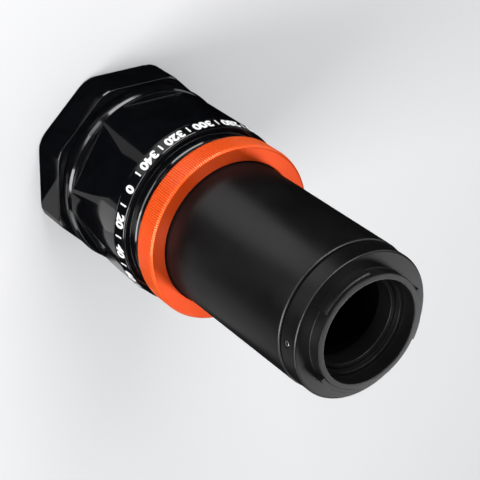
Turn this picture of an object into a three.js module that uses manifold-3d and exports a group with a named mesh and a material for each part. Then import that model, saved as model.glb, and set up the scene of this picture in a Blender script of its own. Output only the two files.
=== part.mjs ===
// Telescope focal-reducer lens with its camera adapter: a coupling nut, a faceted lens housing, a
// knurled lock ring, a long adapter tube and a bayonet T-ring, all turned about one optical axis.
//
// Units are millimetres. The optical axis is +Z, from the telescope towards the camera. The origin
// is the centre of the coupling nut's rear face, and +X passes through the middle of one housing flat.

import * as THREE from "three";
import { mergeVertices } from "three/addons/utils/BufferGeometryUtils.js";
import Module from "manifold-3d";

const wasm = await Module();
wasm.setup();

// ---- Driving dimensions ----

const OUTER_SEGMENTS = 48; // facets round a piece that shows
const INNER_SEGMENTS = 24; // facets round a piece inside
const GAP = 0.3; // running and seating gap between neighbours

// Coupling nut: octagonal, captive on the housing's tail.
const NUT_SIDES = 8;
const NUT_TURN_DEG = 30; // the first flat's direction
const NUT_LENGTH = 18;
const NUT_FLAT_R = 43.1; // axis to a flat
const NUT_CORNER_R = 45.9; // corners turned down to this radius
const NUT_CHAMFER = 0.8;
const PORT_THREAD_R = 41.8; // the 83.6 mm rear thread of the telescope
const NUT_LIP_Z = 15.2;
const SEAT_Z = 10.2; // where the end of the telescope's port stops
const CAPTIVE_CLEARANCE = 0.6; // round and behind the ring that keeps the nut captive
const CAPTIVE_RING_LENGTH = 3.4;
const WASHER_CLEARANCE = 0.2; // each side of the glide washer

// Lens housing.
const FLAT_COUNT = 6;
const TAIL_R = 37.5;
const TAIL_BORE_R = 31.5;
const SHOULDER_Z = 18.4;
const SHOULDER_R = 41;
const RIB_Z = 24.6; // middle of the round rib
const RIB_R = 43.4;
const RIB_HALF = 3.2;
const RIB_ARC_DEG = 60; // how far the rib's round goes each way
const BODY_R = 42.6;
const BODY_Z = 28.6;
const BODY_EDGE = 0.8;
const BODY_END_Z = 65.4;
const CELL_SHOULDER_Z = 30;
const CELL_BORE_R = 34.4;
const SPIGOT_R = 38;
const SPIGOT_END_Z = 75;
const FLAT_REAR_R = 39.5; // axis to the flats beside the rib
const FLAT_FRONT_R = 42.3; // axis to the flats beside the scale ring
const FLAT_REAR_Z = 29.8;
const FLAT_FRONT_Z = 64.6;
const FLAT_CUTTER_DEPTH = 12; // more than the flats' depth

// Scale ring and front adapter.
const SCALE_Z = 65.7;
const SCALE_END_Z = 72.1;
const SCALE_REAR_R = 42.7;
const SCALE_FRONT_R = 42.1;
const SCALE_EDGE = 0.3;
const FACE_CLEARANCE = 0.2; // between the scale ring and the front adapter
const STEP_R = 41.6;
const STEP_Z = 73;
const COLLAR_R = 39.1;
const COLLAR_Z = 77.3;
const COLLAR_EDGE = 0.6;
const NECK_R = 38.2;
const NECK_END_Z = 81.3;
const NECK_BORE_R = 32.4;
const ADAPTER_THREAD_R = 36.7;
const ADAPTER_END_Z = 86.4;

// Lock ring.
const LOCK_Z = 81.6;
const LOCK_END_Z = 92.5;
const LOCK_R = 41;
const LOCK_HOLE_R = 33.5;
const LOCK_LIP_Z = 88.5;
const LOCK_REAR_EDGE = 0.4;
const LOCK_CHAMFER = 1.1; // round the front
const LOCK_DISH = 0.5; // fall of the front face towards the hole
const LOCK_HOLE_EDGE = 0.3;

// Adapter tube.
const TUBE_R = 33;
const TUBE_BORE_R = 30.6;
const TUBE_END_Z = 171.6;
const TUBE_WALL = 3;
const TUBE_EDGE = 0.6;
const T_THREAD_R = 20.9; // the 42 mm T thread
const T_THREAD_BORE_R = 19;
const T_THREAD_END_Z = 176.6;

// T-ring.
const T_RING_Z = TUBE_END_Z + GAP;
const FLANGE_Z = 181; // the face that meets the camera
const T_RING_R = 32.4;
const T_RING_REAR_EDGE = 0.6;
const T_RING_FRONT_EDGE = 0.5;
const INSERT_R = 26.2;
const INSERT_BORE_R = 21.2;
const INSERT_END_Z = 179.4;
const GROOVE_DEPTH = 0.9;
const SCREW_Z = 175.8;
const SCREW_R = 1.5;
const SCREW_POINT_R = 0.3;
const SCREW_POINT_LENGTH = 1.3;
const SCREW_EDGE = 0.3;
const SCREW_INSET = 0.4; // the screw's head lies this far below the T-ring's outside
const SOCKET_R = 0.85; // across the corners, halved
const SOCKET_DEPTH = 1.5;
const SOCKET_SIDES = 6;
const BARREL_R = 25.2;
const BARREL_BORE_R = 22.6;
const BARREL_END_Z = 186.6;
const LUG_R = 26.9;
const LUG_Z = 184.2;
const LUG_THICKNESS = 1.7;
const LUG_SPAN_DEG = 52;
const LUG_START_DEG = 90;
const LUG_ROOT = 0.5; // how far a lug reaches into the barrel
const SCREW_COUNT = 3;
const SCREW_START_DEG = 30;
const DOT_R = 1.1;
const DOT_Z = 178.6;
const DOT_DEG = 210;
const DOT_REAR_R = 31.2;
const DOT_HOLE_R = 30.8;
const DOT_CENTRE_R = 31.9; // the middle of its dome
const DOT_DOME_DEG = 30; // where the dome starts
const DRILL_OVERRUN = 1; // a drilled hole's tool reaches this far past the metal
const ROUND_SEGMENTS = 16; // facets round a screw, a bead and their holes

// Lens cell and glass.
const CELL_R = 34.1;
const CELL_LIP_R = 28.6;
const CELL_END_Z = 66.2;
const CELL_LIP = 2.7;
const GLASS_BORE_R = 31.4;
const GLASS_R = 31;
const CELL_RING_Z = 62.9;
const CELL_RING_END_Z = 65.7;
const HOUSING_RING_END_Z = 70.2;
const SPANNER_SLOT = 2; // width of a slot, and twice its depth

// ---- Geometry helpers ----

// A closed ring from its cross-section: [radius, z] points listed anticlockwise.
function turnedRing(section, segments) {
  return turned([...section, section[0]], segments);
}

// A solid of revolution about +Z. The profile starts and ends on the axis, or on one point.
function turned(profile, segments) {
  const points = profile.map(([r, z]) => new THREE.Vector2(r, z));
  return new THREE.LatheGeometry(points, segments).rotateX(Math.PI / 2);
}

// Points on an arc in the [radius, z] plane, angles in degrees from the outward direction.
function arc(centre, radius, fromDeg, toDeg, steps) {
  return Array.from({ length: steps + 1 }, (_, i) => {
    const a = THREE.MathUtils.degToRad(fromDeg + ((toDeg - fromDeg) * i) / steps);
    return [centre[0] + radius * Math.cos(a), centre[1] + radius * Math.sin(a)];
  });
}

function toSolid(geometry) {
  const bare = geometry.clone();
  bare.deleteAttribute("normal");
  bare.deleteAttribute("uv");
  const merged = mergeVertices(bare, 1e-4);
  return new wasm.Manifold(
    new wasm.Mesh({
      numProp: 3,
      vertProperties: merged.attributes.position.array,
      triVerts: new Uint32Array(merged.index.array),
    }),
  );
}

function toGeometry(solid) {
  const mesh = solid.getMesh();
  const geometry = new THREE.BufferGeometry();
  geometry.setAttribute("position", new THREE.BufferAttribute(mesh.vertProperties, 3));
  geometry.setIndex(new THREE.BufferAttribute(mesh.triVerts, 1));
  geometry.computeVertexNormals();
  return geometry;
}

function cut(geometry, tools) {
  return toGeometry(tools.reduce((solid, tool) => solid.subtract(toSolid(tool)), toSolid(geometry)));
}

function join(geometry, additions) {
  return toGeometry(additions.reduce((solid, more) => solid.add(toSolid(more)), toSolid(geometry)));
}

// Copies of a geometry turned round the optical axis.
function around(count, startDeg, make) {
  return Array.from({ length: count }, (_, i) =>
    make().rotateZ(THREE.MathUtils.degToRad(startDeg + (360 * i) / count)),
  );
}

// A plain round rod along +X, from one distance off the axis to another, at height z.
function radialRod(radius, from, to, z) {
  return new THREE.CylinderGeometry(radius, radius, to - from, ROUND_SEGMENTS)
    .rotateZ(-Math.PI / 2)
    .translate((from + to) / 2, 0, z);
}

// ---- Materials ----

function finish(color, roughness, metalness, extra = {}) {
  return new THREE.MeshStandardMaterial({ color, roughness, metalness, ...extra });
}

const glossBlack = finish(0x0b0b0d, 0.22, 0.6);
const satinBlack = finish(0x1b1b1d, 0.5, 0.5);
const innerBlack = finish(0x0d0d0d, 0.9, 0.1);
const orangeAnodised = finish(0xe8641c, 0.38, 0.7);
const slipPlastic = finish(0xe4e1d6, 0.6, 0);
const steel = finish(0x8f9296, 0.35, 1);
const redBead = finish(0xc01818, 0.35, 0);
const coatedGlass = finish(0xa9c8bf, 0.05, 0, { transparent: true, opacity: 0.35 });

// ---- Pieces ----

function couplingNut() {
  const ring = turnedRing(
    [
      [PORT_THREAD_R, 0],
      [NUT_CORNER_R - NUT_CHAMFER, 0],
      [NUT_CORNER_R, NUT_CHAMFER],
      [NUT_CORNER_R, NUT_LENGTH - NUT_CHAMFER],
      [NUT_CORNER_R - NUT_CHAMFER, NUT_LENGTH],
      [TAIL_R + GAP, NUT_LENGTH],
      [TAIL_R + GAP, NUT_LIP_Z],
      [PORT_THREAD_R, NUT_LIP_Z],
    ],
    OUTER_SEGMENTS,
  );
  const corner = NUT_FLAT_R / Math.cos(Math.PI / NUT_SIDES);
  const prism = new THREE.CylinderGeometry(corner, corner, 2 * NUT_LENGTH, NUT_SIDES)
    .rotateX(Math.PI / 2)
    .rotateZ(THREE.MathUtils.degToRad(NUT_TURN_DEG - 180 / NUT_SIDES))
    .translate(0, 0, NUT_LENGTH / 2);
  return toGeometry(toSolid(ring).intersect(toSolid(prism)));
}

function couplingRetainingRing() {
  const inner = TAIL_R + 2 * GAP;
  const outer = PORT_THREAD_R - CAPTIVE_CLEARANCE;
  const rear = SEAT_Z + CAPTIVE_CLEARANCE;
  const front = rear + CAPTIVE_RING_LENGTH;
  return turnedRing([[inner, rear], [outer, rear], [outer, front], [inner, front]], INNER_SEGMENTS);
}

function glideWasher() {
  const inner = TAIL_R + 2 * GAP;
  const outer = PORT_THREAD_R - CAPTIVE_CLEARANCE - WASHER_CLEARANCE;
  const rear = SEAT_Z + CAPTIVE_CLEARANCE + CAPTIVE_RING_LENGTH + WASHER_CLEARANCE;
  const front = NUT_LIP_Z - WASHER_CLEARANCE;
  return turnedRing([[inner, rear], [outer, rear], [outer, front], [inner, front]], INNER_SEGMENTS);
}

// The slab of metal that is milled away to leave one flat, with its sloping face at +X.
function flatCutter() {
  const rise = FLAT_FRONT_R - FLAT_REAR_R;
  const run = FLAT_FRONT_Z - FLAT_REAR_Z;
  const length = Math.hypot(rise, run);
  return new THREE.BoxGeometry(FLAT_CUTTER_DEPTH, BODY_R, length)
    .translate(FLAT_CUTTER_DEPTH / 2, 0, length / 2)
    .rotateY(Math.atan2(rise, run))
    .translate(FLAT_REAR_R, 0, FLAT_REAR_Z);
}

function lensHousing() {
  const blank = turnedRing(
    [
      [TAIL_BORE_R, SEAT_Z],
      [TAIL_R, SEAT_Z],
      [TAIL_R, SHOULDER_Z],
      [SHOULDER_R, SHOULDER_Z],
      [SHOULDER_R, RIB_Z - RIB_HALF],
      ...arc([RIB_R - RIB_HALF, RIB_Z], RIB_HALF, -RIB_ARC_DEG, RIB_ARC_DEG, 4),
      [BODY_R - BODY_EDGE, BODY_Z - BODY_EDGE],
      [BODY_R, BODY_Z],
      [BODY_R, BODY_END_Z],
      [SPIGOT_R, BODY_END_Z],
      [SPIGOT_R, SPIGOT_END_Z],
      [CELL_BORE_R, SPIGOT_END_Z],
      [CELL_BORE_R, CELL_SHOULDER_Z],
      [TAIL_BORE_R, CELL_SHOULDER_Z],
    ],
    OUTER_SEGMENTS,
  );
  return cut(blank, around(FLAT_COUNT, 0, flatCutter));
}

function scaleRing() {
  const inner = SPIGOT_R + GAP;
  return turnedRing(
    [
      [inner, SCALE_Z],
      [SCALE_REAR_R - SCALE_EDGE, SCALE_Z],
      [SCALE_REAR_R, SCALE_Z + SCALE_EDGE],
      [SCALE_FRONT_R, SCALE_END_Z - SCALE_EDGE],
      [SCALE_FRONT_R - SCALE_EDGE, SCALE_END_Z],
      [inner, SCALE_END_Z],
    ],
    OUTER_SEGMENTS,
  );
}

// Steps down from the scale ring to a collar, and from the collar to the neck under the lock ring.
function frontAdapter() {
  const rear = SCALE_END_Z + FACE_CLEARANCE;
  return turnedRing(
    [
      [SPIGOT_R + GAP, rear],
      [STEP_R, rear],
      [STEP_R, STEP_Z],
      [COLLAR_R, STEP_Z],
      [COLLAR_R, COLLAR_Z - COLLAR_EDGE],
      [COLLAR_R - COLLAR_EDGE, COLLAR_Z],
      [NECK_R, COLLAR_Z],
      [NECK_R, NECK_END_Z],
      [ADAPTER_THREAD_R, NECK_END_Z],
      [ADAPTER_THREAD_R, ADAPTER_END_Z],
      [NECK_BORE_R, ADAPTER_END_Z],
      [NECK_BORE_R, SPIGOT_END_Z + GAP],
      [SPIGOT_R + GAP, SPIGOT_END_Z + GAP],
    ],
    OUTER_SEGMENTS,
  );
}

function lockRing() {
  const threadR = ADAPTER_THREAD_R + GAP;
  return turnedRing(
    [
      [threadR, LOCK_Z],
      [LOCK_R - LOCK_REAR_EDGE, LOCK_Z],
      [LOCK_R, LOCK_Z + LOCK_REAR_EDGE],
      [LOCK_R, LOCK_END_Z - LOCK_CHAMFER],
      [LOCK_R - LOCK_CHAMFER, LOCK_END_Z],
      [LOCK_HOLE_R + LOCK_HOLE_EDGE, LOCK_END_Z - LOCK_DISH],
      [LOCK_HOLE_R, LOCK_END_Z - LOCK_DISH - LOCK_HOLE_EDGE],
      [LOCK_HOLE_R, LOCK_LIP_Z],
      [threadR, LOCK_LIP_Z],
    ],
    OUTER_SEGMENTS,
  );
}

function adapterTube() {
  const flangeRear = ADAPTER_END_Z + GAP;
  const flangeFront = LOCK_LIP_Z - GAP;
  return turnedRing(
    [
      [TUBE_BORE_R, flangeRear],
      [ADAPTER_THREAD_R, flangeRear],
      [ADAPTER_THREAD_R, flangeFront],
      [TUBE_R, flangeFront],
      [TUBE_R, TUBE_END_Z - TUBE_EDGE],
      [TUBE_R - TUBE_EDGE, TUBE_END_Z],
      [T_THREAD_R, TUBE_END_Z],
      [T_THREAD_R, T_THREAD_END_Z],
      [T_THREAD_BORE_R, T_THREAD_END_Z],
      [T_THREAD_BORE_R, TUBE_END_Z - TUBE_WALL],
      [TUBE_BORE_R, TUBE_END_Z - TUBE_WALL],
    ],
    OUTER_SEGMENTS,
  );
}

// The T-ring's threaded insert. The V groove round it takes the points of the grub screws.
function tRingInsert() {
  return turnedRing(
    [
      [INSERT_BORE_R, T_RING_Z],
      [INSERT_R, T_RING_Z],
      [INSERT_R, SCREW_Z - SCREW_R],
      [INSERT_R - GROOVE_DEPTH, SCREW_Z],
      [INSERT_R, SCREW_Z + SCREW_R],
      [INSERT_R, INSERT_END_Z],
      [INSERT_BORE_R, INSERT_END_Z],
    ],
    OUTER_SEGMENTS,
  );
}

// One bayonet lug: a slice of a ring, centred on +X.
function bayonetLug() {
  const half = THREE.MathUtils.degToRad(LUG_SPAN_DEG / 2);
  const shape = new THREE.Shape();
  shape.absarc(0, 0, LUG_R, -half, half, false);
  shape.absarc(0, 0, BARREL_R - LUG_ROOT, half, -half, true);
  return new THREE.ExtrudeGeometry(shape, {
    depth: LUG_THICKNESS,
    bevelEnabled: false,
    curveSegments: 8,
  }).translate(0, 0, LUG_Z);
}

function tRingBody() {
  const blank = turnedRing(
    [
      [INSERT_R + GAP, T_RING_Z],
      [T_RING_R - T_RING_REAR_EDGE, T_RING_Z],
      [T_RING_R, T_RING_Z + T_RING_REAR_EDGE],
      [T_RING_R, FLANGE_Z - T_RING_FRONT_EDGE],
      [T_RING_R - T_RING_FRONT_EDGE, FLANGE_Z],
      [BARREL_R, FLANGE_Z],
      [BARREL_R, BARREL_END_Z],
      [BARREL_BORE_R, BARREL_END_Z],
      [BARREL_BORE_R, INSERT_END_Z + GAP],
      [INSERT_R + GAP, INSERT_END_Z + GAP],
    ],
    OUTER_SEGMENTS,
  );
  const withLugs = join(blank, around(3, LUG_START_DEG, bayonetLug));
  const outside = T_RING_R + DRILL_OVERRUN;
  const screwHole = () => radialRod(SCREW_R + GAP, INSERT_R - DRILL_OVERRUN, outside, SCREW_Z);
  const dotHole = () => radialRod(DOT_R + GAP, DOT_HOLE_R, outside, DOT_Z);
  return cut(withLugs, [
    ...around(SCREW_COUNT, SCREW_START_DEG, screwHole),
    ...around(1, DOT_DEG, dotHole),
  ]);
}

// A grub screw lying along +X, with its point towards the axis and a hexagon socket outside.
function grubScrew() {
  const point = INSERT_R - GROOVE_DEPTH + GAP;
  const head = T_RING_R - SCREW_INSET;
  const screw = turned(
    [
      [0, point],
      [SCREW_POINT_R, point],
      [SCREW_R, point + SCREW_POINT_LENGTH],
      [SCREW_R, head - SCREW_EDGE],
      [SCREW_R - SCREW_EDGE, head],
      [0, head],
    ],
    ROUND_SEGMENTS,
  );
  const socket = new THREE.CylinderGeometry(SOCKET_R, SOCKET_R, 2 * SOCKET_DEPTH, SOCKET_SIDES)
    .rotateX(Math.PI / 2)
    .translate(0, 0, head);
  return cut(screw, [socket]).rotateY(Math.PI / 2);
}

// The index bead is a short domed pin along +X.
function indexDot() {
  const dome = arc([0, DOT_CENTRE_R], DOT_R, DOT_DOME_DEG, 90, 3);
  const profile = [[0, DOT_REAR_R], [dome[0][0], DOT_REAR_R], ...dome];
  return turned(profile, ROUND_SEGMENTS).rotateY(Math.PI / 2);
}

function lensCell() {
  const rear = CELL_SHOULDER_Z + GAP;
  const lipTop = rear + CELL_LIP;
  return turnedRing(
    [
      [CELL_LIP_R, rear],
      [CELL_R, rear],
      [CELL_R, CELL_END_Z],
      [GLASS_BORE_R, CELL_END_Z],
      [GLASS_BORE_R, lipTop],
      [CELL_LIP_R, lipTop],
    ],
    INNER_SEGMENTS,
  );
}

// Points on a spherical face from the axis out to the rim. A positive radius bulges towards the rear.
function sphericalFace(vertexZ, radius) {
  const steps = 3;
  return Array.from({ length: steps + 1 }, (_, i) => {
    const r = (GLASS_R * i) / steps;
    const sag = radius - Math.sign(radius) * Math.sqrt(radius * radius - r * r);
    return [r, vertexZ + sag];
  });
}

function lensElement({ rearZ, rearRadius, frontZ, frontRadius }) {
  const rear = sphericalFace(rearZ, rearRadius);
  const front = sphericalFace(frontZ, frontRadius);
  return turned([...rear, ...front.reverse()], INNER_SEGMENTS);
}

function spacer({ rear, front }) {
  const outer = GLASS_R;
  const inner = CELL_LIP_R;
  return turnedRing([[inner, rear], [outer, rear], [outer, front], [inner, front]], INNER_SEGMENTS);
}

// A threaded retaining ring with two slots for a pin spanner.
function retainingRing({ inner, outer, rear, front }) {
  const ring = turnedRing([[inner, rear], [outer, rear], [outer, front], [inner, front]], INNER_SEGMENTS);
  const slot = new THREE.BoxGeometry(3 * outer, SPANNER_SLOT, SPANNER_SLOT).translate(0, 0, front);
  return cut(ring, [slot]);
}

// The glass, from the telescope side: a cemented pair, a meniscus, and a second cemented pair.
const GLASS = [
  { rearZ: 30.7, rearRadius: 160, frontZ: 38.4, frontRadius: -140 },
  { rearZ: 38.6, rearRadius: -140, frontZ: 41.2, frontRadius: -600 },
  { rearZ: 44.6, rearRadius: 110, frontZ: 49.2, frontRadius: 190 },
  { rearZ: 52.4, rearRadius: 240, frontZ: 58.9, frontRadius: -150 },
  { rearZ: 59.1, rearRadius: -150, frontZ: 61.4, frontRadius: 420 },
];

const SPACERS = [
  { rear: 40.8, front: 48 },
  { rear: 52, front: 53.8 },
];

// ---- Assembly ----

const group = new THREE.Group();

function place(name, geometry, material) {
  const mesh = new THREE.Mesh(geometry, material);
  mesh.name = name;
  group.add(mesh);
}

place("coupling_nut", couplingNut(), glossBlack);
place("coupling_retaining_ring", couplingRetainingRing(), satinBlack);
place("glide_washer", glideWasher(), slipPlastic);
place("lens_housing", lensHousing(), glossBlack);

place("lens_cell", lensCell(), innerBlack);
GLASS.forEach((faces, i) => place(`lens_element_${i + 1}`, lensElement(faces), coatedGlass));
SPACERS.forEach((ends, i) => place(`lens_spacer_${i + 1}`, spacer(ends), innerBlack));
place(
  "cell_retaining_ring",
  retainingRing({ inner: CELL_LIP_R, outer: GLASS_R, rear: CELL_RING_Z, front: CELL_RING_END_Z }),
  innerBlack,
);
place(
  "housing_retaining_ring",
  retainingRing({ inner: GLASS_R, outer: CELL_R, rear: CELL_END_Z + GAP, front: HOUSING_RING_END_Z }),
  innerBlack,
);

place("scale_ring", scaleRing(), glossBlack);
place("front_adapter", frontAdapter(), glossBlack);
place("lock_ring", lockRing(), orangeAnodised);
place("adapter_tube", adapterTube(), satinBlack);

place("t_ring_insert", tRingInsert(), satinBlack);
place("t_ring_body", tRingBody(), satinBlack);
around(SCREW_COUNT, SCREW_START_DEG, grubScrew).forEach((screw, i) =>
  place(`t_ring_screw_${i + 1}`, screw.translate(0, 0, SCREW_Z), steel),
);
around(1, DOT_DEG, indexDot).forEach((dot) => place("index_dot", dot.translate(0, 0, DOT_Z), redBead));

export default group;
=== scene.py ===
import math

import bmesh
import bpy
from mathutils import Matrix, Vector


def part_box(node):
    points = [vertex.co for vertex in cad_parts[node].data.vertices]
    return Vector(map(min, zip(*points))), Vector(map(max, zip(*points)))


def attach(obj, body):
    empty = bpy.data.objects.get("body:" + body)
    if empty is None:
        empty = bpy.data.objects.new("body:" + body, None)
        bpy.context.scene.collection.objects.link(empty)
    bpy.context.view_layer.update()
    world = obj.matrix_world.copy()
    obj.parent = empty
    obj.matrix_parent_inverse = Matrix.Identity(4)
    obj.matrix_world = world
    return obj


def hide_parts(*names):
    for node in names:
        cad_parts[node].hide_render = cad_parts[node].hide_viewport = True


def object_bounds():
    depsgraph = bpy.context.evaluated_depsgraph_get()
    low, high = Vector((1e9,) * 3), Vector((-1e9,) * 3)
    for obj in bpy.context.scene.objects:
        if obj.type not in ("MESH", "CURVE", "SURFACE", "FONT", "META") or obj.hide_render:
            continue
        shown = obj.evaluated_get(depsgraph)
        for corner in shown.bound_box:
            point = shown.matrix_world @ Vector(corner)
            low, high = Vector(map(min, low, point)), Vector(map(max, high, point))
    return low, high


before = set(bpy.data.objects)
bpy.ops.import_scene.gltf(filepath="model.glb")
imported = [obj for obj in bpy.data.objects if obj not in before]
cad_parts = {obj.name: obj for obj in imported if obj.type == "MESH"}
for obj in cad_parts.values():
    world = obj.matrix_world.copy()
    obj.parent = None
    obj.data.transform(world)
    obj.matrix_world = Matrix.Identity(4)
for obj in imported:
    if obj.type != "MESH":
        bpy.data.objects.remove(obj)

CAD_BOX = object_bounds()

# Lengths are in metres. The optical axis is +Z and the telescope end stands on the floor.
MM = 0.001
FINE = 192  # columns round a piece that shows
PLAIN = 96  # columns round a piece inside
EDGE = 0.3 * MM  # how far an edge is rounded
EASE = 0.2 * MM  # how far a small or inner edge is rounded
SHARP_DEG = 40  # faces that meet at more than this stay sharp
NUDGE_DEG = 0.01  # keeps a cutting plane off the mesh's own vertices
SAME = 0.01 * MM  # two lengths this close are the same length
HAIR = 0.001 * MM  # room for rounding


# ---- Cross-sections read from the CAD nodes ----

def section(node, angle_deg=0.0):
    """A node's outline in the half-plane at an angle round the axis, as (radius, z) points, anticlockwise.

    An outline that touches the axis comes back open, from the axis to the axis."""
    angle = math.radians(angle_deg + NUDGE_DEG)
    outward = Vector((math.cos(angle), math.sin(angle), 0))
    across = Vector((-math.sin(angle), math.cos(angle), 0))
    bm = bmesh.new()
    bm.from_mesh(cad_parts[node].data)
    bmesh.ops.remove_doubles(bm, verts=bm.verts, dist=0.1 * HAIR)
    bmesh.ops.bisect_plane(
        bm, geom=[*bm.verts, *bm.edges, *bm.faces], dist=0.001 * HAIR,
        plane_co=(0, 0, 0), plane_no=across, clear_inner=True, clear_outer=True,
    )
    links = {}
    for edge in bm.edges:
        a, b = edge.verts
        if min(a.co.dot(outward), b.co.dot(outward)) > -HAIR:
            links.setdefault(a, []).append(b)
            links.setdefault(b, []).append(a)
    ends = [v for v, near in links.items() if len(near) == 1]
    walk = [ends[0] if ends else next(iter(links))]
    seen = set(walk)
    while True:
        onward = [v for v in links[walk[-1]] if v not in seen]
        if not onward:
            break
        walk.append(onward[0])
        seen.add(onward[0])
    points = [Vector((v.co.dot(outward), v.co.z)) for v in walk]
    bm.free()
    closed = not ends
    points = without_straights(points, closed)
    if signed_area(points) < 0:
        points.reverse()
    return points


def signed_area(points):
    after = points[1:] + points[:1]
    return sum(p.x * q.y - q.x * p.y for p, q in zip(points, after)) / 2


def without_straights(points, closed):
    """Drops the points that lie on a straight run."""
    least_bend = 0.004
    kept = []
    for i, p in enumerate(points):
        if not closed and i in (0, len(points) - 1):
            kept.append(p)
            continue
        before, after = points[i - 1], points[(i + 1) % len(points)]
        u, v = p - before, after - p
        if abs(u.x * v.y - u.y * v.x) > least_bend * u.length * v.length:
            kept.append(p)
    return kept


def rounded(points, radius=EDGE, steps=3):
    """The closed outline with each real corner turned into a small curve."""
    real_corner = math.radians(18)
    most_of_a_side = 0.42
    out = []
    for i, p in enumerate(points):
        before, after = points[i - 1] - p, points[(i + 1) % len(points)] - p
        turn = math.pi - before.angle(after)
        if turn < real_corner:
            out.append(p)
            continue
        reach = min(radius, most_of_a_side * before.length, most_of_a_side * after.length)
        a, b = p + before.normalized() * reach, p + after.normalized() * reach
        for k in range(steps + 1):
            t = k / steps
            out.append(a * (1 - t) ** 2 + p * 2 * t * (1 - t) + b * t ** 2)
    return out


# ---- Mesh helpers ----

def piece(name, verts, faces, material, body, nodes=(), smooth_deg=SHARP_DEG):
    """An object that rides on a body, stands for these CAD nodes and takes its finish from a slot."""
    mesh = bpy.data.meshes.new(name)
    mesh.from_pydata([tuple(v) for v in verts], [], faces)
    mesh.validate()
    mesh.shade_smooth()
    mesh.set_sharp_from_angle(angle=math.radians(smooth_deg))
    mesh.materials.append(material)
    obj = bpy.data.objects.new(name, mesh)
    bpy.context.scene.collection.objects.link(obj)
    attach(obj, body)
    if nodes:
        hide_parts(*nodes)
    return obj


def weight_normals(obj):
    """Keeps a flat face's shading flat beside its rounded edges."""
    modifier = obj.modifiers.new("flat_faces_stay_flat", "WEIGHTED_NORMAL")
    modifier.keep_sharp = True
    return obj


def grid(rows, close_rows):
    """Vertices and outward faces for rows of points that run round the axis, listed along the outline."""
    across = len(rows[0])
    verts = [p for row in rows for p in row]
    faces = []
    for i in range(len(rows) if close_rows else len(rows) - 1):
        j = (i + 1) % len(rows)
        for k in range(across):
            m = (k + 1) % across
            faces.append((i * across + k, i * across + m, j * across + m, j * across + k))
    return verts, faces


def turned_rows(points, columns):
    """The points carried round the axis, one row each."""
    angles = [2 * math.pi * k / columns for k in range(columns)]
    return [[(p.x * math.cos(a), p.x * math.sin(a), p.y) for a in angles] for p in points]


def turned(name, points, material, body, nodes, columns=FINE):
    """A ring with this closed outline."""
    verts, faces = grid(turned_rows(points, columns), close_rows=True)
    return weight_normals(piece(name, verts, faces, material, body, nodes))


def turned_solid(points, columns):
    """Vertices and faces of a solid whose open outline starts and ends on the axis."""
    rows = turned_rows(points[1:-1], columns)
    verts, faces = grid(rows, close_rows=False)
    for tip, row in ((points[0], 0), (points[-1], len(rows) - 1)):
        verts.append((0, 0, tip.y))
        last = len(verts) - 1
        for k in range(columns):
            ring = [row * columns + k, row * columns + (k + 1) % columns]
            faces.append((last, *(reversed(ring) if row == 0 else ring)))
    return verts, faces


def cut_away(obj, verts, faces):
    """Cuts a closed tool out of a piece, for good."""
    mesh = bpy.data.meshes.new("tool")
    mesh.from_pydata(verts, [], faces)
    tool = bpy.data.objects.new("tool", mesh)
    bpy.context.scene.collection.objects.link(tool)
    modifier = obj.modifiers.new("cut", "BOOLEAN")
    modifier.object = tool
    modifier.operation = "DIFFERENCE"
    modifier.solver = "EXACT"
    obj.modifiers.move(len(obj.modifiers) - 1, 0)
    with bpy.context.temp_override(object=obj):
        bpy.ops.object.modifier_apply(modifier="cut")
    bpy.data.objects.remove(tool)
    obj.data.set_sharp_from_angle(angle=math.radians(SHARP_DEG))


def box_mesh(low, high):
    """Vertices and faces of a box between two corners."""
    xs, ys, zs = zip(low, high)
    verts = [(x, y, z) for z in zs for y in ys for x in xs]
    faces = [(0, 2, 3, 1), (4, 5, 7, 6), (0, 1, 5, 4), (2, 6, 7, 3), (0, 4, 6, 2), (1, 3, 7, 5)]
    return verts, faces


def transformed(verts, matrix):
    return [tuple(matrix @ Vector(v)) for v in verts]


# ---- Materials ----

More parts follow.
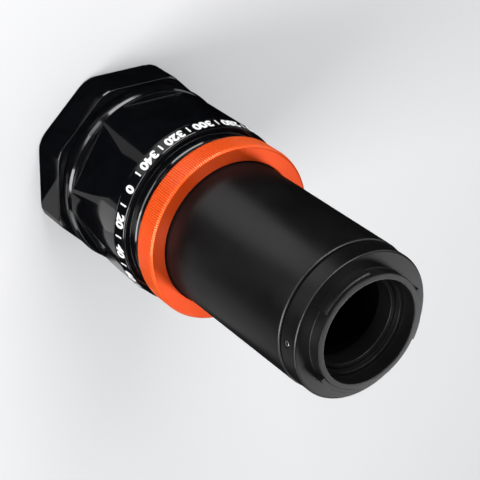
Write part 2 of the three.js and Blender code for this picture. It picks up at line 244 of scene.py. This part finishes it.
class Nodes:
    """Short names for building a node material round one Principled shader."""

    def __init__(self, name):
        self.material = bpy.data.materials.new(name)
        self.material.use_nodes = True
        self.tree = self.material.node_tree
        self.shader = self.tree.nodes["Principled BSDF"]
        coordinates = self.new("ShaderNodeTexCoord")
        self.place = coordinates.outputs["Object"]
        self.bumps = None

    def new(self, kind, **inputs):
        node = self.tree.nodes.new(kind)
        for key, value in inputs.items():
            self.set(node, key, value)
        return node

    def set(self, node, key, value):
        socket = node.inputs[key]
        if isinstance(value, bpy.types.NodeSocket):
            self.tree.links.new(value, socket)
        else:
            socket.default_value = value

    def base(self, **inputs):
        """Sets the shader's own inputs, with an underscore for each space in a name."""
        for key, value in inputs.items():
            self.set(self.shader, key.replace("_", " "), value)

    def math(self, operation, a, b=0.0):
        node = self.tree.nodes.new("ShaderNodeMath")
        node.operation = operation
        self.set(node, 0, a)
        self.set(node, 1, b)
        return node.outputs[0]

    def noise(self, scale, detail=4.0, vector=None):
        node = self.new("ShaderNodeTexNoise", Scale=scale, Detail=detail, Roughness=0.55)
        self.tree.links.new(vector or self.place, node.inputs["Vector"])
        return node.outputs["Fac"]

    def spread(self, value, low, high, out_low=0.0, out_high=1.0):
        """The value, moved in a straight line from one range to another."""
        node = self.tree.nodes.new("ShaderNodeMapRange")
        for key, number in zip(("Value", "From Min", "From Max", "To Min", "To Max"),
                               (value, low, high, out_low, out_high)):
            self.set(node, key, number)
        return node.outputs[0]

    def even(self, noise, low=0.0, high=1.0):
        """A noise, with the middle range that it mostly keeps to stretched between two values."""
        return self.spread(noise, 0.3, 0.7, low, high)

    def mix(self, factor, a, b):
        node = self.tree.nodes.new("ShaderNodeMix")
        node.data_type = "RGBA"
        self.set(node, 0, factor)
        self.set(node, 6, a)
        self.set(node, 7, b)
        return node.outputs[2]

    def turning_vector(self, stretch=0.02):
        """A vector that changes fast along the axis and the radius and slowly round it, as tool marks do."""
        split = self.new("ShaderNodeSeparateXYZ", Vector=self.place)
        x, y, z = split.outputs
        squares = self.math("ADD", self.math("MULTIPLY", x, x), self.math("MULTIPLY", y, y))
        radius = self.math("SQRT", squares)
        join = self.tree.nodes.new("ShaderNodeCombineXYZ")
        self.set(join, 0, self.math("MULTIPLY", x, stretch))
        self.set(join, 1, self.math("MULTIPLY", y, stretch))
        self.set(join, 2, self.math("ADD", z, radius))
        return join.outputs[0]

    def upright(self):
        """How far the surface faces along the axis: 0 on a wall, 1 on an end face."""
        geometry = self.tree.nodes.new("ShaderNodeNewGeometry")
        split = self.new("ShaderNodeSeparateXYZ", Vector=geometry.outputs["Normal"])
        return self.math("ABSOLUTE", split.outputs["Z"])

    def less_in_mirrors(self, colour, share):
        """The colour, darkened by a share where the piece is seen in a mirror image."""
        path = self.tree.nodes.new("ShaderNodeLightPath")
        return self.mix(self.math("MULTIPLY", path.outputs["Is Glossy Ray"], share), colour, (0, 0, 0, 1))

    def round_the_axis(self):
        """The direction in which a lathe leaves its lines."""
        node = self.tree.nodes.new("ShaderNodeTangent")
        node.direction_type = "RADIAL"
        node.axis = "Z"
        return node.outputs[0]

    def bump(self, height, strength, distance):
        """Adds a bump on top of those before it."""
        node = self.new("ShaderNodeBump", Height=height, Strength=strength, Distance=distance)
        if self.bumps is not None:
            self.tree.links.new(self.bumps, node.inputs["Normal"])
        self.bumps = node.outputs[0]
        self.set(self.shader, "Normal", self.bumps)


def gloss_black():
    n = Nodes("gloss_black_anodised")
    smudge = n.spread(n.noise(38, 5), 0.35, 0.7, 0.05, 0.13)
    lines = n.noise(2600, 3, n.turning_vector())
    mottle = n.noise(900, 3)
    cloud = n.even(n.noise(160, 4))
    tone = n.mix(cloud, (0.0019, 0.0020, 0.0026, 1), (0.0036, 0.0038, 0.0048, 1))
    n.base(Base_Color=tone, Roughness=smudge)
    n.bump(mottle, 0.05, 0.02 * MM)
    n.bump(lines, 0.08, 0.02 * MM)
    return n.material


def satin_black():
    n = Nodes("satin_black_anodised")
    cloud = n.noise(45, 6)
    lines = n.noise(2100, 2, n.turning_vector())
    grain = n.noise(3200, 2)
    tone = n.mix(n.even(cloud), (0.0035, 0.0034, 0.0038, 1), (0.0060, 0.0058, 0.0064, 1))
    n.base(Base_Color=tone, Roughness=n.even(cloud, 0.31, 0.38))
    n.bump(grain, 0.12, 0.03 * MM)
    n.bump(lines, 0.10, 0.03 * MM)
    return n.material


def matt_black():
    n = Nodes("matt_black_anodised")
    threads = n.noise(1300, 1, n.turning_vector(0.0))
    tone = n.mix(n.noise(90, 4), (0.006, 0.006, 0.006, 1), (0.012, 0.012, 0.012, 1))
    n.base(Base_Color=tone, Roughness=n.even(n.noise(300), 0.72, 0.86))
    n.bump(threads, 0.4, 0.08 * MM)
    return n.material


def orange_anodised():
    """Dyed metal: the knurl scatters the light and is painted a lighter tone, and the flat faces take a
    deeper painted shade and a turned sheen.
    """
    n = Nodes("orange_anodised")
    cloud = n.even(n.noise(60, 5))
    lines = n.noise(2400, 3, n.turning_vector())
    # painted light and shade: the walls get a lighter copy of the orange and the end faces a darker copy,
    # picked by which way each surface faces
    level = n.spread(n.upright(), 0.3, 0.9)
    knurl_painted_light_tone = n.mix(cloud, (0.98, 0.130, 0.010, 1), (1.0, 0.150, 0.015, 1))
    face_painted_shade_tone = n.mix(cloud, (0.97, 0.080, 0.003, 1), (1.0, 0.096, 0.006, 1))
    tone = n.mix(level, knurl_painted_light_tone, n.less_in_mirrors(face_painted_shade_tone, 0.7))
    n.base(Base_Color=tone, Metallic=n.spread(level, 0.0, 1.0, 0.30, 0.68),
           Roughness=n.even(n.noise(150, 4), 0.34, 0.42), Anisotropic=0.5,
           Tangent=n.round_the_axis(), Coat_Weight=0.6, Coat_Roughness=0.14)
    n.bump(lines, 0.28, 0.03 * MM)
    return n.material


def white_paint():
    n = Nodes("white_paint")
    tone = n.mix(n.even(n.noise(700, 4)), (0.80, 0.80, 0.79, 1), (0.92, 0.92, 0.91, 1))
    n.base(Base_Color=tone, Roughness=0.55)
    n.bump(n.noise(2500, 3), 0.2, 0.02 * MM)
    return n.material


def bright_steel():
    n = Nodes("bright_steel")
    lines = n.noise(1800, 3, n.turning_vector())
    tone = n.mix(n.noise(500, 3), (0.40, 0.41, 0.43, 1), (0.58, 0.59, 0.61, 1))
    n.base(Base_Color=tone, Metallic=1.0, Roughness=n.even(lines, 0.24, 0.4))
    return n.material


def red_bead():
    n = Nodes("red_bead")
    tone = n.mix(n.noise(900, 3), (0.55, 0.010, 0.012, 1), (0.68, 0.020, 0.018, 1))
    n.base(Base_Color=tone, Roughness=0.22)
    n.bump(n.noise(1200, 2), 0.05, 0.02 * MM)
    return n.material


def slip_plastic():
    n = Nodes("slip_plastic")
    tone = n.mix(n.noise(260, 4), (0.70, 0.68, 0.62, 1), (0.78, 0.76, 0.71, 1))
    rough = n.even(n.noise(150), 0.5, 0.65)
    n.base(Base_Color=tone, Roughness=rough, Subsurface_Weight=0.1,
           Subsurface_Radius=(MM, MM, 0.8 * MM))
    return n.material


def coated_glass():
    n = Nodes("coated_glass")
    film = n.even(n.noise(20, 2), 380.0, 460.0)
    haze = n.even(n.noise(70, 4), 0.0, 0.03)
    n.base(Base_Color=(0.93, 0.98, 0.95, 1), Roughness=haze, IOR=1.52, Transmission_Weight=1.0,
           Thin_Film_Thickness=film, Thin_Film_IOR=1.38)
    return n.material


def floor_material():
    n = Nodes("pale_floor")
    tone = n.mix(n.even(n.noise(3, 3)), (0.70, 0.70, 0.705, 1), (0.72, 0.72, 0.725, 1))
    n.base(Base_Color=tone, Roughness=0.9, Specular_IOR_Level=0.0)
    return n.material


GLOSS = gloss_black()
SATIN = satin_black()
MATT = matt_black()
ORANGE = orange_anodised()
WHITE = white_paint()
STEEL = bright_steel()
RED = red_bead()
SLIP = slip_plastic()
GLASS = coated_glass()


# ---- Pieces with flats ----

def faceted(name, rows, sides, first_deg, half_angle, body, node):
    """A turned piece whose outside is cut by flats.

    A row is a height and a function that gives the radius at an angle from the nearest flat's middle.
    half_angle(z) is how far a flat reaches each side of its middle. The columns follow the flats' edges,
    so each edge is one clean line."""
    sector = 2 * math.pi / sides
    edge_half = math.radians(0.2)
    steps = 12

    def columns(z):
        reach = half_angle(z)
        flat = [(-1 + 2 * k / steps) * (reach - edge_half) for k in range(steps + 1)]
        land_start, land_end = reach + edge_half, sector - reach - edge_half
        land = [land_start + (land_end - land_start) * k / steps for k in range(steps + 1)]
        return flat + land

    points = []
    for z, radius in rows:
        row = []
        for s in range(sides):
            middle = math.radians(first_deg) + s * sector
            for off in columns(z):
                r = radius(off if off < sector / 2 else off - sector)
                row.append((r * math.cos(middle + off), r * math.sin(middle + off), z))
        points.append(row)
    verts, faces = grid(points, close_rows=True)
    weight_normals(piece(name, verts, faces, GLOSS, body, [node]))


def with_heights(points, heights, low_radius, high_radius):
    """The outline with extra points at these heights on its long walls between two radii."""
    out = []
    for p, q in zip(points, points[1:] + points[:1]):
        out.append(p)
        if abs(q.y - p.y) > MM and low_radius < min(p.x, q.x) and max(p.x, q.x) < high_radius:
            inside = sorted((z for z in heights if min(p.y, q.y) < z < max(p.y, q.y)), reverse=q.y < p.y)
            out.extend(p + (q - p) * ((z - p.y) / (q.y - p.y)) for z in inside)
    return out


def node_radius(node, z, angle_deg):
    """The outside radius of a node at a height and an angle, from its cross-section."""
    loop = section(node, angle_deg)
    hits = []
    for p, q in zip(loop, loop[1:] + loop[:1]):
        if (p.y - z) * (q.y - z) <= 0 and abs(p.y - q.y) > 0.001 * HAIR:
            hits.append(p.x + (q.x - p.x) * (z - p.y) / (q.y - p.y))
    return max(hits)


def plain_row(p):
    """A row of a faceted piece that no flat reaches."""
    return p.y, lambda angle: p.x


def lens_housing():
    """The housing: each flat starts at a ledge beside the rib and runs out at the scale ring."""
    sides, flat_deg, land_deg = 6, 0, 30
    land_height, least_radius = 60 * MM, 38 * MM
    land = section("lens_housing", land_deg)
    flat = section("lens_housing", flat_deg)
    body_radius = node_radius("lens_housing", land_height, land_deg)
    runs = [(p, q) for p, q in zip(flat, flat[1:] + flat[:1]) if min(p.x, q.x) > least_radius]
    rear, front = sorted(max(runs, key=lambda run: (run[1] - run[0]).length), key=lambda p: p.y)
    slope = (front.x - rear.x) / (front.y - rear.y)
    body_end = max(p.y for p in land if abs(p.x - body_radius) < 0.1 * MM)
    edge, fillet = 0.22 * MM, 0.5 * MM  # of the ledge

    def apothem(z):
        return rear.x + slope * (z - rear.y)

    def half_angle(z):
        return math.acos(apothem(min(max(z, rear.y), body_end)) / body_radius)

    def cut(z):
        return z, lambda angle: min(body_radius, apothem(z) / math.cos(angle))

    def ledge_row(z, fixed, share, from_flat):
        """A row of the ledge: an edge's share, a share of the way in, and a share of the fillet."""
        def radius(angle):
            depth = max(0.0, body_radius - rear.x / math.cos(angle))
            scale = min(1.0, depth / (edge + fillet))
            level = depth - scale * (edge + fillet)
            return body_radius - (scale * edge * fixed + level * share + scale * fillet * from_flat)
        return z, radius

    def ledge():
        rows = []
        edge_steps, fillet_steps, tiny = 3, 5, 0.02 * MM
        for k in range(edge_steps + 1):
            t = math.pi / 2 * k / edge_steps
            rows.append(ledge_row(rear.y - edge * (1 - math.sin(t)), 1 - math.cos(t), 0, 0))
        rows.append(ledge_row(rear.y + tiny, 1, 0.5, 0))
        for k in range(fillet_steps + 1):
            t = math.pi / 2 * k / fillet_steps
            rows.append(ledge_row(rear.y + 2 * tiny + fillet * (1 - math.cos(t)), 1, 1, math.sin(t)))
        return rows

    def on_wall(p):
        return abs(p.x - body_radius) < SAME

    def end_row(p):
        if p.x > body_radius - MM and p.y > wall_end.y:
            return p.y, lambda angle: min(p.x, apothem(p.y) / math.cos(angle))
        return plain_row(p)

    points = rounded(land, 0.35 * MM)
    wall_start = next(p for p in points if on_wall(p) and p.y > rear.y - 2 * MM)
    wall_end = next(p for p in points[points.index(wall_start) + 1:] if on_wall(p))
    rows = [plain_row(p) for p in points[: points.index(wall_start) + 1]] + ledge()
    first, steps = rows[-1][0] + EASE, 24
    rows += [cut(first + (wall_end.y - first) * k / steps) for k in range(steps + 1)]
    rows += [end_row(p) for p in points[points.index(wall_end) + 1:]]
    faceted("lens_housing_shell", rows, sides, flat_deg, half_angle, "lens", "lens_housing")


def coupling_nut():
    """The nut: flats that cut its turned corners, and a thread in its bore."""
    sides, flat_deg = 8, 30
    corner = section("coupling_nut", flat_deg - 180 / sides)
    apothem = max(p.x for p in section("coupling_nut", flat_deg))
    corner_radius = max(p.x for p in corner)
    top = max(p.y for p in corner)
    bore = max(p.x for p in corner if p.y < MM and p.x < apothem - 0.5 * MM)
    bore_top = min(p.y for p in corner if p.x < bore - 2 * MM)
    reach = math.acos(apothem / corner_radius)
    ease, near = 0.45 * MM, 0.1 * MM
    pitch, half_depth, steps_a_turn = 1.5 * MM, 0.35 * MM, 6
    levels = [ease * (1 - math.cos(math.radians(a))) for a in (0, 25, 50, 90)]
    steps = range(4, int(steps_a_turn * (bore_top - MM) / pitch))
    turns = [pitch * k / steps_a_turn for k in steps]

    def outside(p):
        """A row that the flats cut, drawn in a little near the nut's two ends."""
        def radius(angle):
            near_end = max(0.0, ease - p.y, ease - (top - p.y))
            drop = ease - math.sqrt(max(0.0, ease ** 2 - near_end ** 2))
            return min(p.x, apothem / math.cos(angle) - drop)
        return p.y, radius

    levels += [top - level for level in levels]
    points = with_heights(rounded(corner), levels, apothem, corner_radius + MM)
    points = with_heights(points, turns, bore - near, bore + near)
    rows = []
    for p in points:
        if p.x > max(apothem - 1.5 * MM, bore + near):
            rows.append(outside(p))
        elif abs(p.x - bore) < near and p.y in turns:
            wave = 1 + math.cos(2 * math.pi * p.y / pitch)
            rows.append(plain_row(Vector((p.x + half_depth * wave, p.y))))
        else:
            rows.append(plain_row(p))
    faceted("coupling_nut_shell", rows, sides, flat_deg, lambda z: reach, "nut", "coupling_nut")


# ---- Turned pieces ----

def plain_ring(node, material, body, columns=PLAIN, angle_deg=0.0):
    """An inner ring, turned from its CAD node's cross-section at an angle."""
    points = rounded(section(node, angle_deg), EASE)
    return turned(node + "_turned", points, material, body, [node], columns)


def lock_ring():
    """The knurled ring. Its teeth run along the axis between the two chamfers."""
    teeth, depth = 252, 0.5 * MM
    shape = ((0.0, 0.0), (0.32, 0.0), (0.56, 1.0), (0.76, 1.0))  # share of the pitch, share of the depth
    tooth_edge_deg = 30
    loop = rounded(section("lock_ring"), 0.25 * MM)
    knurled_from = max(p.x for p in loop) - 0.45 * MM
    rows = []
    for p in loop:
        reach = depth if p.x > knurled_from else 0.0
        row = []
        for tooth in range(teeth):
            for share, low in shape:
                a = 2 * math.pi * (tooth + share) / teeth
                r = p.x - reach * low
                row.append((r * math.cos(a), r * math.sin(a), p.y))
        rows.append(row)
    verts, faces = grid(rows, close_rows=True)
    weight_normals(piece("lock_ring_knurled", verts, faces, ORANGE, "lock", ["lock_ring"],
                         tooth_edge_deg))


def front_adapter():
    """The collar and the neck, with thread showing between the collar and the lock ring."""
    loop = section("front_adapter")
    lock_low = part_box("lock_ring")[0].z
    neck = node_radius("front_adapter", lock_low - 2 * MM, 0)
    pitch, depth = MM, 0.3 * MM
    near = 0.1 * MM
    run = [p.y for p in loop if abs(p.x - neck) < near]
    low, high = min(run), max(run)
    count = int((high - low) / pitch * 2)
    heights = [low + (high - low) * k / count for k in range(1, count)]
    points = with_heights(rounded(loop, EASE), heights, neck - near, neck + near)
    for p in points:
        if p.y in heights[::2] and abs(p.x - neck) < near:
            p.x -= depth
    turned("front_adapter_turned", points, GLOSS, "lens", ["front_adapter"])


def glass_element(number):
    """A lens element, with true spherical faces through the CAD solid's rim and its points on the axis."""
    node = f"lens_element_{number}"
    loop = section(node)
    rim = max(p.x for p in loop)
    on_rim = sorted(p.y for p in loop if p.x > rim - SAME)
    on_axis = sorted(p.y for p in loop if p.x < SAME)
    rear = spherical(on_axis[0], on_rim[0], rim)
    front = spherical(on_axis[-1], on_rim[-1], rim)
    points = rear + list(reversed(front))
    verts, faces = turned_solid(points, PLAIN)
    piece(f"glass_{number}", verts, faces, GLASS, "lens", [node])


def spherical(vertex_z, rim_z, rim):
    """Points of a spherical face from the axis out to the rim."""
    sag = rim_z - vertex_z
    radius = (rim ** 2 + sag ** 2) / (2 * sag)
    steps = 14
    out = []
    for k in range(steps + 1):
        r = rim * k / steps
        rest = math.copysign(math.sqrt(radius ** 2 - r ** 2), radius)
        out.append(Vector((r, vertex_z + radius - rest)))
    return out


def slotted_ring(node, body):
    """A retaining ring with a spanner slot across its front."""
    obj = plain_ring(node, MATT, body, angle_deg=90)
    low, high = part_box(node)
    half_width, depth = MM, MM
    slot = box_mesh((low.x - MM, -half_width, high.z - depth), (high.x + MM, half_width, high.z + MM))
    cut_away(obj, *slot)


# ---- Scale ring ----

MARK_HEIGHT = 0.06 * MM  # how far a mark stands out


def scale_ring():
    """The ring with a number each 20 degrees and a line between numbers."""
    loop = rounded(section("scale_ring"), EDGE, 4)
    ring = turned("scale_ring_marked", loop, GLOSS, "lens", ["scale_ring"])
    low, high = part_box("scale_ring")
    first, last = low.z + 0.5 * MM, high.z - 0.5 * MM
    rear, front = (node_radius("scale_ring", z, 0) for z in (first, last))

    def surface(z):
        return rear + (front - rear) * (z - first) / (last - first)

    middle = (low.z + high.z) / 2
    half_length, width, spacing = 1.9 * MM, 0.7 * MM, 20
    marks = [numeral(a, middle, surface) for a in range(0, 360, spacing)]
    marks += [
        tick(a, middle - half_length, middle + half_length, width, surface)
        for a in range(spacing // 2, 360, spacing)
    ]
    join_marks(ring, marks)


def numeral(degree, z, surface):
    """Vertices and faces of an angle's number on the ring, reading round the axis with its top towards +Z."""
    curve = bpy.data.curves.new("numeral", "FONT")
    curve.body = str(degree)
    curve.size = 6.3 * MM
    curve.align_x = "CENTER"
    curve.align_y = "CENTER"
    curve.offset = 0.3 * MM
    curve.extrude = MARK_HEIGHT
    curve.resolution_u = 4
    holder = bpy.data.objects.new("numeral", curve)
    bpy.context.scene.collection.objects.link(holder)
    mesh = holder.to_mesh()
    flat = [v.co.copy() for v in mesh.vertices]
    faces = [tuple(p.vertices) for p in mesh.polygons]
    holder.to_mesh_clear()
    bpy.data.objects.remove(holder)
    bpy.data.curves.remove(curve)
    return wrapped(flat, degree, z, surface), faces


def tick(degree, low, high, width, surface):
    """Vertices and faces of a line on the ring at an angle, between two heights."""
    verts, faces = box_mesh((-width / 2, low, -MARK_HEIGHT), (width / 2, high, MARK_HEIGHT))
    return wrapped([Vector(v) for v in verts], degree, 0.0, surface), faces


def wrapped(flat, degree, z, surface):
    """Flat points bent round the axis on to a surface, with the flat origin at this angle and height."""
    out = []
    for v in flat:
        height = z + v.y
        a = math.radians(degree) + v.x / surface(height)
        r = surface(height) + v.z
        out.append((r * math.cos(a), r * math.sin(a), height))
    return out


def join_marks(obj, marks):
    """Adds the marks to a piece's mesh as a second material."""
    bm = bmesh.new()
    bm.from_mesh(obj.data)
    for verts, faces in marks:
        made = [bm.verts.new(v) for v in verts]
        for face in faces:
            new = bm.faces.new([made[i] for i in face])
            new.material_index = 1
    bm.to_mesh(obj.data)
    bm.free()
    obj.data.materials.append(WHITE)
    obj.data.set_sharp_from_angle(angle=math.radians(SHARP_DEG))


# ---- T-ring ----

SCREWS = (1, 2, 3)


def rod(radius, low, high, columns=32):
    """A round rod along +Z as a closed outline turned about it."""
    points = [Vector((0, low)), Vector((radius, low)), Vector((radius, high)), Vector((0, high))]
    return turned_solid(points, columns)


def radially(angle_deg, z):
    """Turns something that stands on +Z to point out along a radius at an angle and a height."""
    lift = Matrix.Translation((0, 0, z))
    swing = Matrix.Rotation(math.radians(angle_deg), 4, "Z")
    tip = Matrix.Rotation(math.pi / 2, 4, "Y")
    return lift @ swing @ tip


def node_place(node):
    """Where a small round node sits: its angle, its height, its distance from the axis and its radius."""
    low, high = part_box(node)
    middle = (low + high) / 2
    reach = Vector((middle.x, middle.y)).length
    return math.degrees(math.atan2(middle.y, middle.x)), middle.z, reach, (high.z - low.z) / 2


def t_ring_body():
    """The body, with a hole for each grub screw and a shallow one for the bead."""
    node = "t_ring_body"
    obj = turned(node + "_turned", rounded(section(node)), SATIN, "t_ring", [node])
    screw_depth, bead_depth, clearance = 4 * MM, 0.8 * MM, 0.25 * MM
    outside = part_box(node)[1].x + 4 * MM
    depths = {f"t_ring_screw_{number}": screw_depth for number in SCREWS}
    depths["index_dot"] = bead_depth
    for fitting, depth in depths.items():
        angle, z, reach, radius = node_place(fitting)
        verts, faces = rod(radius + clearance, reach - depth, outside)
        cut_away(obj, transformed(verts, radially(angle, z)), faces)


def bayonet_lugs():
    """The three lugs, each a slice of a ring with eased edges."""
    node = "t_ring_body"
    lug_angles, half_span, steps = (90, 210, 330), math.radians(26), 18
    above_flange, ease, sunk = 183.5 * MM, 0.25 * MM, 0.4 * MM
    with_lug = section(node, lug_angles[0])
    tip = max(p.x for p in with_lug if p.y > above_flange)
    heights = [p.y for p in with_lug if p.x > tip - SAME]
    low, high = min(heights), max(heights)
    root = max(p.x for p in section(node) if p.y > above_flange) - sunk
    outline = [
        Vector((root, low)), Vector((tip - ease, low)), Vector((tip, low + ease)),
        Vector((tip, high - ease)), Vector((tip - ease, high)), Vector((root, high)),
    ]
    across = len(outline)
    verts, faces = [], []
    for turn in lug_angles:
        start = len(verts)
        for k in range(steps + 1):
            a = math.radians(turn) + half_span * (2 * k / steps - 1)
            verts.extend((p.x * math.cos(a), p.x * math.sin(a), p.y) for p in outline)
        for k in range(steps):
            for i in range(across):
                j = (i + 1) % across
                a, b = start + k * across, start + (k + 1) * across
                faces.append((a + i, b + i, b + j, a + j))
        faces.append(tuple(start + i for i in range(across)))
        faces.append(tuple(start + steps * across + i for i in reversed(range(across))))
    weight_normals(piece("bayonet_lugs", verts, faces, SATIN, "t_ring"))


def grub_screw(number):
    """A grub screw: a cone point, a thread and a hexagonal socket."""
    node = f"t_ring_screw_{number}"
    angle, z, reach, radius = node_place(node)
    point, head = reach - 3.3 * MM, reach + 3.0 * MM
    cone, chamfer, pitch = 1.3 * MM, 0.3 * MM, 0.5 * MM
    thread_start, thread_root = 1.5 * MM, 0.86 * radius
    profile = [(0, point), (0.2 * radius, point), (radius, point + cone)]
    for k in range(int((head - point - 2 * MM) / pitch)):
        groove = point + thread_start + k * pitch
        profile += [(thread_root, groove), (radius, groove + pitch / 2)]
    profile += [(radius, head - chamfer), (radius - chamfer, head), (0, head)]
    verts, faces = turned_solid([Vector(p) for p in profile], 32)
    obj = piece(f"grub_screw_{number}", transformed(verts, radially(angle, z)), faces, STEEL,
                "t_ring", [node])
    socket_radius, socket_depth = 0.85 * MM, 1.5 * MM
    socket, socket_faces = rod(socket_radius, head - socket_depth, head + MM, 6)
    cut_away(obj, transformed(socket, radially(angle, z)), socket_faces)


def index_dot():
    """The red bead, a short rod with a domed end."""
    angle, z, reach, radius = node_place("index_dot")
    half_length = 0.9 * MM
    bottom, top = reach - half_length, reach + half_length
    dome = []
    for a in range(20, 90, 10):
        across, up = math.cos(math.radians(a)), math.sin(math.radians(a))
        dome.append((radius * across, top - radius * (1 - up)))
    profile = [(0, bottom), (dome[0][0], bottom), *dome, (0, top)]
    verts, faces = turned_solid([Vector(p) for p in profile], 24)
    piece("index_bead", transformed(verts, radially(angle, z)), faces, RED, "t_ring",
          ["index_dot"])


# ---- Build ----

coupling_nut()
lens_housing()
scale_ring()
front_adapter()
lock_ring()
turned("adapter_tube_turned", rounded(section("adapter_tube"), EDGE), SATIN, "adapter",
       ["adapter_tube"])

plain_ring("coupling_retaining_ring", SATIN, "lens")
plain_ring("glide_washer", SLIP, "nut")
plain_ring("lens_cell", MATT, "lens")
plain_ring("lens_spacer_1", MATT, "lens")
plain_ring("lens_spacer_2", MATT, "lens")
slotted_ring("cell_retaining_ring", "lens")
slotted_ring("housing_retaining_ring", "lens")
for element in range(1, 6):
    glass_element(element)

plain_ring("t_ring_insert", SATIN, "adapter", FINE)
t_ring_body()
bayonet_lugs()
for screw in SCREWS:
    grub_screw(screw)
index_dot()


# ---- Stage: floor, lights, camera ----

CAMERA_PLACE = Vector((0.4472, -0.1030, 0.5619))
CAMERA_UP = Vector((0.2213, -0.8876, -0.4040))
LENS_MM = 114.3
SENSOR_MM = 36
AIM = 0.53  # how far up the object the camera looks
AMBIENT = 0.65
BACKDROP = 0.71  # the backdrop's share of the ambient light
LIT_POINT = Vector((0, 0, 0.09))  # what the soft boxes face
LIGHT_DISTANCE = 1.2
CARD_DROP = 5 * MM  # how far a low card lies below the floor


def look(place, target, up):
    """A matrix at place whose -Z points at target."""
    back = (place - target).normalized()
    right = up.cross(back).normalized()
    turned_up = back.cross(right)
    matrix = Matrix((right, turned_up, back)).transposed().to_4x4()
    matrix.translation = place
    return matrix


def make_camera():
    low, high = CAD_BOX
    data = bpy.data.cameras.new("camera")
    data.lens = LENS_MM
    data.sensor_width = SENSOR_MM
    camera = bpy.data.objects.new("camera", data)
    bpy.context.scene.collection.objects.link(camera)
    target = Vector((0, 0, low.z + AIM * (high.z - low.z)))
    camera.matrix_world = look(CAMERA_PLACE, target, CAMERA_UP)
    bpy.context.scene.camera = camera


def make_floor():
    """A pale floor that lights the object but isn't mirrored in it, as under a dark surround."""
    half = 40.0
    corners = [(-half, -half, 0), (half, -half, 0), (half, half, 0), (-half, half, 0)]
    mesh = bpy.data.meshes.new("floor")
    mesh.from_pydata(corners, [], [(0, 1, 2, 3)])
    mesh.materials.append(floor_material())
    floor = bpy.data.objects.new("floor", mesh)
    bpy.context.scene.collection.objects.link(floor)
    floor.visible_glossy = False
    floor.visible_shadow = False


def make_world():
    """Even light from all round, plain behind the object and left out of mirror images."""
    world = bpy.data.worlds.new("studio")
    world.use_nodes = True
    tree = world.node_tree
    background = tree.nodes["Background"]
    path = tree.nodes.new("ShaderNodeLightPath")
    level = tree.nodes.new("ShaderNodeMapRange")
    tree.links.new(path.outputs["Is Camera Ray"], level.inputs["Value"])
    level.inputs["To Min"].default_value = AMBIENT
    level.inputs["To Max"].default_value = AMBIENT * BACKDROP
    tree.links.new(level.outputs[0], background.inputs["Strength"])
    background.inputs["Color"].default_value = (0.97, 0.985, 1.0, 1)
    world.cycles_visibility.glossy = False
    bpy.context.scene.world = world


def towards(azimuth, elevation):
    """A direction. Azimuth 0 is on the -Y side, and 90 on the +X side."""
    a, e = math.radians(azimuth), math.radians(elevation)
    return Vector((math.sin(a) * math.cos(e), -math.cos(a) * math.cos(e), math.sin(e)))


def area_light(name, size, radiance, matrix, only_mirrored):
    data = bpy.data.lights.new(name, "AREA")
    data.shape = "RECTANGLE"
    data.size, data.size_y = size
    data.energy = radiance * math.pi * size[0] * size[1]
    light = bpy.data.objects.new(name, data)
    light.matrix_world = matrix
    light.visible_diffuse = not only_mirrored
    light.visible_camera = False
    bpy.context.scene.collection.objects.link(light)


def soft_box(name, azimuth, elevation, size, radiance, only_mirrored=False):
    """A rectangular light that faces the object's middle."""
    place = LIT_POINT + towards(azimuth, elevation) * LIGHT_DISTANCE
    area_light(name, size, radiance, look(place, LIT_POINT, Vector((0, 0, 1))), only_mirrored)


def strip(name, azimuth, elevation, size, radiance):
    """A soft box that shows only in mirror images."""
    soft_box(name, azimuth, elevation, size, radiance, only_mirrored=True)


def low_card(name, azimuth, near, far, span, radiance):
    """A level card below the floor that shows only in mirror images, as pale ground round the object does.

    It reaches from near to far out from the axis, and is span degrees wide."""
    way = towards(azimuth, 0)
    middle = (near + far) / 2
    size = 2 * middle * math.tan(math.radians(span / 2)), far - near
    place = way * middle - Vector((0, 0, CARD_DROP))
    matrix = look(place, place + Vector((0, 0, 1)), way)
    area_light(name, size, radiance, matrix, only_mirrored=True)


def make_lights():
    soft_box("key", 28, 33, (0.75, 0.35), 9.5)
    soft_box("left", 135, 35, (0.6, 0.5), 12)
    strip("right_strip", 70, 24, (0.38, 0.38), 5.3)
    strip("low_strip", 170, 6, (0.42, 0.38), 3.6)
    strip("back_strip", -103, 25, (0.38, 0.51), 6.5)
    for azimuth in (-35, 45, 135, 215):
        strip(f"horizon_{azimuth % 360}", azimuth, 10, (0.45, 0.5), 1.8)
    strip("arc_front", 100, 37, (0.75, 0.17), 5.5)
    strip("arc_left", 178, 37, (0.8, 0.17), 5.5)
    strip("arc_right", -14, 37, (0.7, 0.17), 5.5)
    low_card("front_ground", 92, 0.245, 0.60, 24, 0.9)
    low_card("right_ground", 52, 0.118, 0.26, 40, 1.1)
    low_card("left_ground", 174, 0.118, 0.26, 46, 0.32)
    low_card("close_front", 69, 0.060, 0.112, 11, 0.4)
    low_card("close_left", 136, 0.085, 0.112, 24, 1.3)
    low_card("close_far_left", 160, 0.085, 0.112, 24, 0.7)
    low_card("close_back", 207, 0.055, 0.105, 12, 0.5)
    low_card("inner_left", 123, 0.055, 0.105, 12, 0.5)
    low_card("nut_left", 160, 0.046, 0.064, 60, 0.35)
    bpy.context.scene.view_settings.view_transform = "Standard"


make_world()
make_floor()
make_lights()
make_camera()
